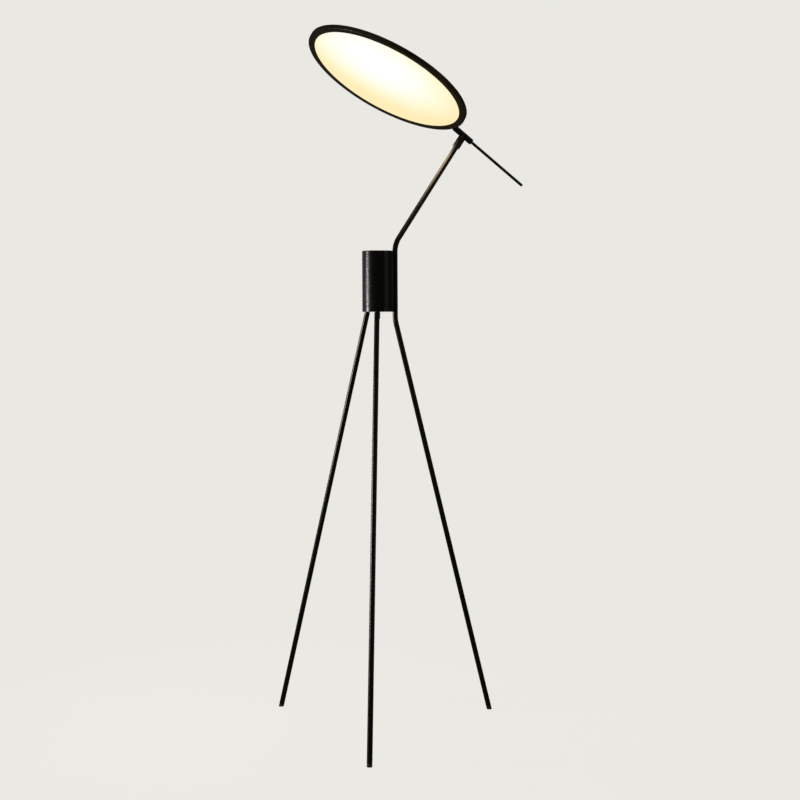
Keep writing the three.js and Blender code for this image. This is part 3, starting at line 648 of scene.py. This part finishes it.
def build_gland():
    """The cable gland's body, its clamping nut and its seal."""
    body = [
        (2.4, -9),
        (3.7, -9),
        (3.7, -13.5),
        (4.3, -13.5),
        (4.3, -7.2),
        (5.3, -7.2),
        (5.3, -0.3),
        (3.8, -0.3),
        (3.8, 9),
        (2.4, 9),
        (2.4, -9),
    ]
    nut = [
        (2.6, -17),
        (4.2, -17),
        (5.1, -15.8),
        (5.1, -7.5),
        (4.6, -7.5),
        (4.6, -14),
        (2.6, -14),
        (2.6, -17),
    ]
    body_mesh = turned(body, IN_CAN, 96, 0.15, hexagon)
    finished("gland_barrel", body_mesh, DARK_PLASTIC, "stand", ["gland_body"])
    nut_mesh = turned(nut, IN_CAN, 144, 0.25)
    finished("gland_cap_nut", nut_mesh, DARK_PLASTIC, "stand", ["gland_nut"])
    seal_mesh = turned(ring_profile(1.9, 3.3, -13.3, -9.4), IN_CAN, 48, 0.3)
    finished("gland_ring", seal_mesh, RUBBER, "stand", ["gland_seal"])


SADDLE_MM = {"inner": 2.25, "outer": 4, "low": 34, "high": 44}  # heights are from the canister's axis


def build_spacer(level):
    """A saddle between the canister and the mast, hollowed to fit both."""
    name = "mast_spacer_" + level
    height = box_middle(name).z
    saddle = turned(ring_profile(*SADDLE_MM.values()), toward_mast(height), 48, 0)
    neighbours = []
    for x, radius in ((CAN_AXIS.x, CAN_RADIUS_MM), (MAST_X, TUBE_OUTER / MM)):
        upright = Matrix.Translation((x, 0, height))
        neighbours.append(cylinder(radius + GAP_MM, -10, 10, upright, CAN_SIDES))
    saddle = boolean(saddle, neighbours)
    finished("saddle_" + level, saddle, BLACK, "stand", [name])


# ------------------------------------------------------------------------------------------------
# The tee
# ------------------------------------------------------------------------------------------------
# Heights run along the arm for the sleeve and along the handle rod for the cross tube. Both are
# measured from the point where the two cross.
SLEEVE_MM = {"radius": 9.3, "bore": 8.1, "neck": 7, "low": -37, "bore_top": -10.4}
CROSS_MM = {"radius": 7.5, "bore": 6.1, "low": -30.5, "high": 27}
WIRE_HOLE_MM = 3
SWIVEL_STOP_MM, ROLL_STOP_MM = -13.3, -15
SET_SCREW_MM = {"hole": 1.75, "radius": 1.45, "socket": 0.75, "socket_depth": 1.2}
TEE_SIDES = 96
HEXAGON = 6  # the sides of a screw's socket


def stop_place(frame_matrix, along_mm):
    """Out through the side of a tube, on its +Y side."""
    origin = frame_matrix @ Vector((0, 0, along_mm * MM))
    return axes(Z_AXIS.cross(Y_AXIS), Y_AXIS, origin)


def build_tee():
    """The sleeve on the arm's end and the cross tube square to it, bored for the two pivots."""
    radius, neck, low = SLEEVE_MM["radius"], SLEEVE_MM["neck"], SLEEVE_MM["low"]
    sleeve_profile = [(0, low), (radius, low), (radius, -9), (neck, -3), (neck, 0), (0, 0)]
    sleeve = turned(sleeve_profile, ALONG_ARM, TEE_SIDES, 0.6)
    cross = cylinder(CROSS_MM["radius"], CROSS_MM["low"], CROSS_MM["high"], ALONG_ROD, TEE_SIDES, 0.6)
    cuts = [
        cylinder(SLEEVE_MM["bore"], low - 1, SLEEVE_MM["bore_top"], ALONG_ARM, TEE_SIDES),
        cylinder(CROSS_MM["bore"], CROSS_MM["low"] - 1, CROSS_MM["high"] + 1, ALONG_ROD, TEE_SIDES),
        cylinder(WIRE_HOLE_MM, SLEEVE_MM["bore_top"] - 1, 0, ALONG_ARM),
        cylinder(SET_SCREW_MM["hole"], 4, 12, stop_place(ALONG_ARM, SWIVEL_STOP_MM), 24),
        cylinder(SET_SCREW_MM["hole"], 4, 12, stop_place(ALONG_ROD, ROLL_STOP_MM), 24),
    ]
    body = boolean(boolean(sleeve, [cross], "UNION"), cuts)
    finished("tee_casting", body, BLACK, "tee", ["tee_body"])


def build_tee_bushes():
    """The plastic bush round the arm's nipple, and the two that carry the spindle."""
    sleeve_bush = turned(ring_profile(6.65, 7.8, -36.5, -16), ALONG_ARM, 64, 0.15)
    finished("arm_sleeve_bush", sleeve_bush, ACETAL, "tee", ["arm_bush"])
    for name, low, high in (("inner", -30.2, -19), ("outer", 8, 18)):
        bush = turned(ring_profile(4.7, 5.8, low, high), ALONG_ROD, 64, 0.15)
        finished("rod_bush_" + name, bush, ACETAL, "tee", ["spindle_bush_" + name])


def build_stop_screw(name, frame_matrix, along_mm, low, high):
    """A small set screw with a hexagon socket."""
    place = stop_place(frame_matrix, along_mm)
    blank = cylinder(SET_SCREW_MM["radius"], low, high, place, 32, 0.2)
    socket_low = high - SET_SCREW_MM["socket_depth"]
    screw = boolean(blank, [cylinder(SET_SCREW_MM["socket"], socket_low, high + 1, place, HEXAGON)])
    finished(name + "_set_screw", screw, STEEL, "tee", [name + "_stop_screw"])


# ------------------------------------------------------------------------------------------------
# The head
# ------------------------------------------------------------------------------------------------
SPINDLE_MM = {"radius": 4.4, "bore": 2.2, "shoulder": 6.2, "stub": 2.4, "stub_bore": 1.4}
SHOULDER_MM = (-31.8, -30.8)
ROD_SOCKET_MM = {"radius": 3.5, "floor": 12, "mouth": 24}


def build_spindle():
    """The hollow spindle, with the groove that the roll's set screw runs in."""
    radius, bore, stub, stub_bore = (SPINDLE_MM[k] for k in ("radius", "bore", "stub", "stub_bore"))
    groove_low, groove_high = ROLL_STOP_MM - SET_SCREW_MM["hole"], ROLL_STOP_MM + SET_SCREW_MM["hole"]
    tip, groove_floor = -39.2, 3.5
    low, high = SHOULDER_MM
    socket, socket_floor, mouth = ROD_SOCKET_MM.values()
    shaft = [
        (stub_bore, tip),
        (stub, tip),
        (stub, low),
        (SPINDLE_MM["shoulder"], low),
        (SPINDLE_MM["shoulder"], high),
        (radius, high),
        (radius, groove_low),
        (groove_floor, groove_low),
        (groove_floor, groove_high),
        (radius, groove_high),
        (radius, mouth),
        (socket, mouth),
        (socket, socket_floor),
        (bore, socket_floor),
        (bore, high),
        (stub_bore, high),
        (stub_bore, tip),
    ]
    finished("shaft", turned(shaft, ALONG_ROD, 64, 0.2), BLACK, "head", ["spindle"])


# Heights are from the tee's centre: where the rod begins, where its turned-down end stops, its tip.
HANDLE_MM = {"radius": 3.6, "end_radius": 3.1, "start": 12.4, "step": 25, "reach": 206}


def build_rod():
    """The handle rod, and the nut on the spindle's open end."""
    radius, end_radius, start, step, reach = HANDLE_MM.values()
    profile = [
        (0, start),
        (end_radius, start),
        (end_radius, step),
        (radius, step),
        (radius, reach - 1.6),
        (radius - 1, reach - 0.4),
        (0, reach),
    ]
    rod = turned(profile, ALONG_ROD, 48, 0.6)
    finished("rod", rod, BLACK, "head", ["handle_rod"])
    nut = turned(ring_profile(4.7, 5.7, 19.6, 24.5), ALONG_ROD, 64, 0.3)
    finished("end_nut", nut, BLACK, "head", ["spindle_nut"])


DISC_SIDES = 256
RIM_MM = 209.5
DISC_FRONT_MM, DISC_BACK_MM, SHEET_MM = -5, 5, 1.2
BEZEL_MM = {"inner": 193, "gap": 0.6}
OPAL_MM = {"radius": 201.5, "front": -3.5, "back": -2}
BEZEL_POST_MM = {"radius": 2.3, "top": 3.5}
BACK_SCREW_MM = {"hole": 1.6, "shank": 1.15, "head": 2.6, "crown": 2.2, "head_height": 1.3, "socket": 1}
STUB_HOLE_MM = 2.8


def back_screw_places():
    """(CAD node, place) of each screw in the disc's back."""
    names = ["bezel_screw_1", "bezel_screw_2", "bezel_screw_3", "stem_screw_1", "stem_screw_2"]
    into_disc = IN_DISC.inverted()
    for name in names:
        middle = into_disc @ box_middle(name)
        yield name, IN_DISC @ Matrix.Translation((middle.x, middle.y, 0))


def build_pan():
    """The head's back and side wall, with holes for its screws and for the spindle's stub."""
    wall, back = RIM_MM - SHEET_MM, DISC_BACK_MM
    profile = [
        (0, back - SHEET_MM),
        (wall, back - SHEET_MM),
        (wall, DISC_FRONT_MM),
        (RIM_MM, DISC_FRONT_MM),
        (RIM_MM, back),
        (0, back),
    ]
    pan = turned(profile, IN_DISC, DISC_SIDES, soften=1.4)
    holes = [cylinder(BACK_SCREW_MM["hole"], 2, 7, place, 24) for _, place in back_screw_places()]
    holes.append(cylinder(STUB_HOLE_MM, -40, -30, ALONG_ROD))
    finished("pan", boolean(pan, holes), HEAD_BLACK_PAINTED_WARM_REFLECTION, "head", ["head_pan"])


def build_bezel():
    """The flat front ring, and the posts behind it that its screws hold."""
    outer, face = RIM_MM - SHEET_MM - BEZEL_MM["gap"], DISC_FRONT_MM + SHEET_MM
    profile = ring_profile(BEZEL_MM["inner"], outer, DISC_FRONT_MM, face)
    ring = turned(profile, IN_DISC, DISC_SIDES, soften=0.35)
    posts, holes = [], []
    for name, place in back_screw_places():
        if name.startswith("bezel"):
            posts.append(cylinder(BEZEL_POST_MM["radius"], face - 0.6, BEZEL_POST_MM["top"], place))
            holes.append(cylinder(BACK_SCREW_MM["hole"], face + 1, DISC_BACK_MM, place, 24))
    ring = boolean(boolean(ring, posts, "UNION"), holes)
    finished("bezel", ring, HEAD_BLACK_PAINTED_WARM_REFLECTION, "head", ["front_bezel"])


def build_diffuser():
    sheet = cylinder(OPAL_MM["radius"], OPAL_MM["front"], OPAL_MM["back"], IN_DISC, DISC_SIDES, 0.3)
    finished("opal_sheet", sheet, OPAL, "head", ["diffuser"])


def build_back_screws():
    """Low-headed screws with hexagon sockets in the disc's back."""
    tip, seat = -1.5, DISC_BACK_MM + GAP_MM
    shank, head, crown = BACK_SCREW_MM["shank"], BACK_SCREW_MM["head"], BACK_SCREW_MM["crown"]
    top = seat + BACK_SCREW_MM["head_height"]
    profile = [(0, tip), (shank, tip), (shank, seat), (head, seat), (crown, top), (0, top)]
    for name, place in back_screw_places():
        socket = cylinder(BACK_SCREW_MM["socket"], seat + 0.3, seat + 2, place, HEXAGON)
        screw = boolean(turned(profile, place, 48, 0.35), [socket])
        finished(name + "_head", screw, STEEL, "head", [name])


# ------------------------------------------------------------------------------------------------
# The studio: camera, lights and floor
# ------------------------------------------------------------------------------------------------
# The studio's own level directions: away from the camera's side, and to the right
LOOK = Vector((0.3923, 0.9198, 0))
RIGHT = Vector((0.9198, -0.3923, 0))
EYE_SIDE, EYE_BACK, EYE_HEIGHT = -0.1398, 3.3317, 1.0073
CAMERA_YAW = math.radians(-3.301)  # from LOOK
CAMERA_PITCH = math.radians(-1.754)
CAMERA_ROLL = math.radians(-0.268)
SENSOR_MM, LENS_MM, SHIFT_Y = 36, 62.44, -0.06
BACKDROP = (0.815, 0.806, 0.768)
FLOOR_Z, FLOOR_REACH = -0.0005, 40
FLOOR_FADE = (0.45, 1.3)  # between these distances from the origin the floor turns into the backdrop


def studio_point(right, toward_camera, height):
    """A point placed from the canister's axis, in the studio's directions."""
    point = CAN_FOOT + right * RIGHT - toward_camera * LOOK
    return Vector((point.x, point.y, height))


def add_camera():
    data = bpy.data.cameras.new("camera")
    data.sensor_width = SENSOR_MM
    data.lens = LENS_MM
    data.shift_y = SHIFT_Y
    camera = bpy.data.objects.new("camera", data)
    camera.location = studio_point(EYE_SIDE, EYE_BACK, EYE_HEIGHT)
    level = Quaternion(Z_AXIS, CAMERA_YAW) @ LOOK.to_track_quat("-Z", "Y")
    tilted = level @ Quaternion(X_AXIS, CAMERA_PITCH)
    camera.rotation_euler = (tilted @ Quaternion(Z_AXIS, CAMERA_ROLL)).to_euler()
    bpy.context.scene.collection.objects.link(camera)
    bpy.context.scene.camera = camera


def add_light(name, place, aim, width, height, power, colour):
    data = bpy.data.lights.new(name, "AREA")
    data.shape = "RECTANGLE"
    data.size, data.size_y = width, height
    data.energy = power
    data.color = colour
    light = bpy.data.objects.new(name, data)
    light.location = place
    light.rotation_euler = (aim - place).to_track_quat("-Z", "Y").to_euler()
    bpy.context.scene.collection.objects.link(light)


def add_world():
    """Camera rays see the pale backdrop; everything else sees a dim studio."""
    world = bpy.data.worlds.new("studio")
    bpy.context.scene.world = world
    world.use_nodes = True
    tree = world.node_tree
    seen = tree.nodes["Background"]
    seen.inputs["Color"].default_value = (*BACKDROP, 1)
    dim = tree.nodes.new("ShaderNodeBackground")
    dim.inputs["Color"].default_value = (1, 0.98, 0.95, 1)
    dim.inputs["Strength"].default_value = 0.04
    path = tree.nodes.new("ShaderNodeLightPath")
    mix = tree.nodes.new("ShaderNodeMixShader")
    tree.links.new(path.outputs["Is Camera Ray"], mix.inputs["Fac"])
    tree.links.new(dim.outputs["Background"], mix.inputs[1])
    tree.links.new(seen.outputs["Background"], mix.inputs[2])
    tree.links.new(mix.outputs["Shader"], tree.nodes["World Output"].inputs["Surface"])


def add_floor():
    """A pale floor that takes soft shadows near the lamp and melts into the backdrop."""
    mesh_edit = bmesh.new()
    corners = []
    for x, y in ((-1, -1), (1, -1), (1, 1), (-1, 1)):
        corners.append(mesh_edit.verts.new((x * FLOOR_REACH, y * FLOOR_REACH, FLOOR_Z)))
    mesh_edit.faces.new(corners)
    mesh = bpy.data.meshes.new("floor")
    mesh_edit.to_mesh(mesh)
    mesh_edit.free()
    floor = bpy.data.objects.new("floor", mesh)
    bpy.context.scene.collection.objects.link(floor)
    shader = Shader("pale_floor")
    away = shader.node("ShaderNodeVectorMath", operation="LENGTH")
    shader.link(shader.coordinates, away.inputs[0])
    fade = shader.node("ShaderNodeMapRange", interpolation_type="SMOOTHSTEP")
    fade.inputs["From Min"].default_value = FLOOR_FADE[0]
    fade.inputs["From Max"].default_value = FLOOR_FADE[1]
    shader.link(away.outputs["Value"], fade.inputs["Value"])
    paper = shader.node("ShaderNodeEmission")
    paper.inputs["Color"].default_value = (*BACKDROP, 1)
    mix = shader.node("ShaderNodeMixShader")
    shader.link(fade.outputs["Result"], mix.inputs["Fac"])
    shader.link(shader.principled.outputs["BSDF"], mix.inputs[1])
    shader.link(paper.outputs["Emission"], mix.inputs[2])
    shader.link(mix.outputs["Shader"], shader.tree.nodes["Material Output"].inputs["Surface"])
    shader.colour(shader.blend(shader.noise(3, 2), (0.07, 0.069, 0.067), (0.08, 0.079, 0.077)))
    shader.set(Roughness=0.9, Specular_IOR_Level=0.05)
    shader.set(Emission_Color=(*BACKDROP, 1), Emission_Strength=0.975)
    mesh.materials.append(shader.material)
    floor.visible_glossy = False


def build_studio():
    add_camera()
    add_world()
    add_floor()
    feet, waist, chest = (studio_point(0, 0, height) for height in (0, 0.9, 1.15))
    glow = DISC_CENTRE - 0.008 * DISC_BACK  # just in front of the opal sheet
    add_light("key_strip", studio_point(-2.2, 0.15, 0.83), waist, 0.42, 0.75, 36, (1, 0.94, 0.96))
    add_light("side_fill", studio_point(-1.8, -1.6, 1.4), chest, 1.0, 2.2, 2.5, (1, 1, 1))
    add_light("right_fill", studio_point(2.4, 1.2, 1.4), chest, 1.0, 2.0, 2, (1, 0.98, 0.96))
    add_light("disc_glow", glow, glow - DISC_BACK, 0.28, 0.28, 3, (1, 0.76, 0.42))
    add_light("overhead", studio_point(0.2, 0.4, 3.2), feet, 2.4, 2.4, 8, (1, 1, 0.99))
    bpy.context.scene.view_settings.view_transform = "Standard"


# ------------------------------------------------------------------------------------------------
# Everything together
# ------------------------------------------------------------------------------------------------
build_studio()
dress_cad_nodes()
build_mast()
for leg_side in ("left", "front"):
    build_leg(leg_side)
for leg_side in ("left", "front", "mast"):
    build_foot(leg_side)
build_shell()
build_base_cap()
build_top_cap()
build_gland()
for screw_level in ("lower", "upper"):
    build_spacer(screw_level)
build_tee()
build_tee_bushes()
build_stop_screw("swivel", ALONG_ARM, SWIVEL_STOP_MM, low=5.3, high=9.1)
build_stop_screw("roll", ALONG_ROD, ROLL_STOP_MM, low=3.8, high=7.3)
build_spindle()
build_rod()
build_pan()
build_bezel()
build_diffuser()
build_back_screws()
